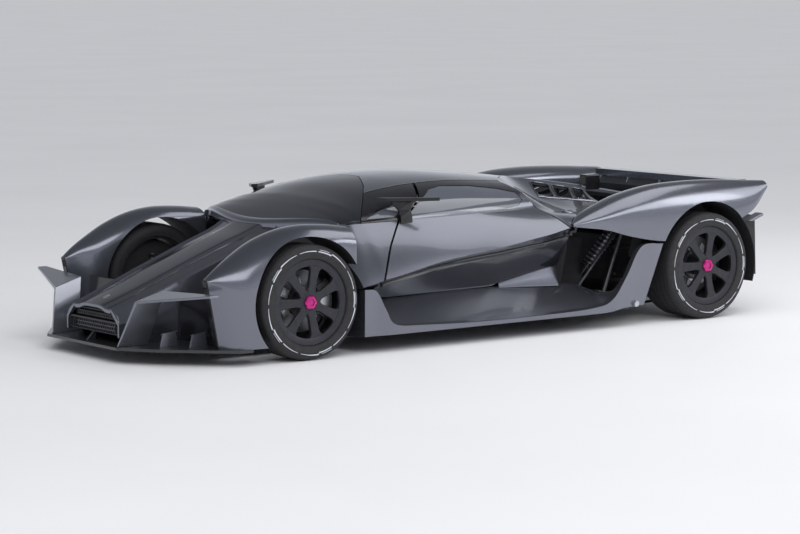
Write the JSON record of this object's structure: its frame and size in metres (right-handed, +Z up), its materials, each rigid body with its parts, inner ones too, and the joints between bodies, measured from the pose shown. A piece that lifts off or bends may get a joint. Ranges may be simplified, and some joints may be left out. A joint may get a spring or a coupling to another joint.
{
  "type": "electric hypercar",
  "caption": "Low electric two-seat hypercar with open-sided nose pod, pontoon fenders, bubble canopy, rear-hinged upward doors and finned tail.",
  "frame": {"origin": "on the ground under the middle of the car's bounding box", "axes": "+X towards the nose, +Y to the car's left, +Z up"},
  "size_m": [4.8, 2.076, 1.0265],
  "materials": {
    "body": "metallic lacquer",
    "wing": "satin metallic",
    "carbon": "satin composite",
    "gloss_black": "gloss",
    "dark_glass": "tinted",
    "side_glass": "tinted",
    "tail_light": "gloss lens",
    "casing": "cast",
    "seat_fabric": "woven",
    "cabin_trim": "grained",
    "bare_alloy": "machined",
    "tyre_rubber": "rubber",
    "rim": "satin dark grey"
  },
  "bodies": {
    "chassis": {"floor_pan": "carbon", "battery_pack": "casing", "front_splitter": "carbon", "nose": "body", "nose_grille": "gloss_black", "winglets": "wing", "headlamps": "gloss_black", "front_fender_left": "body", "front_fender_right": "body", "tub": "carbon", "scuttle": "carbon", "windscreen": "dark_glass", "screen_frame": "gloss_black", "roof_panel": "body", "quarter_panels": "gloss_black", "quarter_lights": "side_glass", "cheeks": "body", "side_sill_left": "body", "side_sill_right": "body", "rear_fender_left": "body", "rear_fender_right": "body", "rear_deck": "body", "rear_frame": "carbon", "tail_wing": "body", "tail_panel": "carbon", "tail_lamp": "tail_light", "rear_diffuser": "carbon", "drive_unit": "casing", "seats": "seat_fabric", "dashboard": "cabin_trim", "steering_wheel": "cabin_trim", "front_wishbones": "bare_alloy", "rear_wishbones": "bare_alloy"},
    "front_left_wheel": {"tyre_front_left": "tyre_rubber", "wheel_front_left": "rim"},
    "front_right_wheel": {"tyre_front_right": "tyre_rubber", "wheel_front_right": "rim"},
    "rear_left_wheel": {"tyre_rear_left": "tyre_rubber", "wheel_rear_left": "rim"},
    "rear_right_wheel": {"tyre_rear_right": "tyre_rubber", "wheel_rear_right": "rim"},
    "left_knuckle": {"knuckle_left": "bare_alloy"},
    "right_knuckle": {"knuckle_right": "bare_alloy"},
    "left_door": {"door_left": "body", "door_glass_left": "side_glass", "mirror_left": "gloss_black"},
    "right_door": {"door_right": "body", "door_glass_right": "side_glass", "mirror_right": "gloss_black"}
  },
  "joints": [
    {"name": "left_steer", "type": "hinge", "parent": "chassis", "child": "left_knuckle", "pos_m": [1.39, 0.8275, 0.35], "axis": [0, 0, 1], "range_deg": [-30, 30]},
    {"name": "right_steer", "type": "hinge", "parent": "chassis", "child": "right_knuckle", "pos_m": [1.39, -0.8275, 0.35], "axis": [0, 0, 1], "range_deg": [-30, 30]},
    {"name": "front_left_spin", "type": "hinge", "parent": "left_knuckle", "child": "front_left_wheel", "pos_m": [1.39, 0.8945, 0.35], "axis": [0, 1, 0], "continuous": true},
    {"name": "front_right_spin", "type": "hinge", "parent": "right_knuckle", "child": "front_right_wheel", "pos_m": [1.39, -0.8945, 0.35], "axis": [0, 1, 0], "continuous": true},
    {"name": "rear_left_spin", "type": "hinge", "parent": "chassis", "child": "rear_left_wheel", "pos_m": [-1.81, 0.8595, 0.355], "axis": [0, 1, 0], "continuous": true},
    {"name": "rear_right_spin", "type": "hinge", "parent": "chassis", "child": "rear_right_wheel", "pos_m": [-1.81, -0.8595, 0.355], "axis": [0, 1, 0], "continuous": true},
    {"name": "left_door_swing", "type": "hinge", "parent": "chassis", "child": "left_door", "pos_m": [-0.668, 0.938, 0.68], "axis": [0.1005, -0.2009, 0.9744], "range_deg": [0, 60]},
    {"name": "right_door_swing", "type": "hinge", "parent": "chassis", "child": "right_door", "pos_m": [-0.668, -0.938, 0.68], "axis": [0.1005, 0.2009, 0.9744], "range_deg": [-60, 0]}
  ],
  "couplings": [
    {"joint": "right_steer", "follows": "left_steer", "ratio": 1}
  ]
}
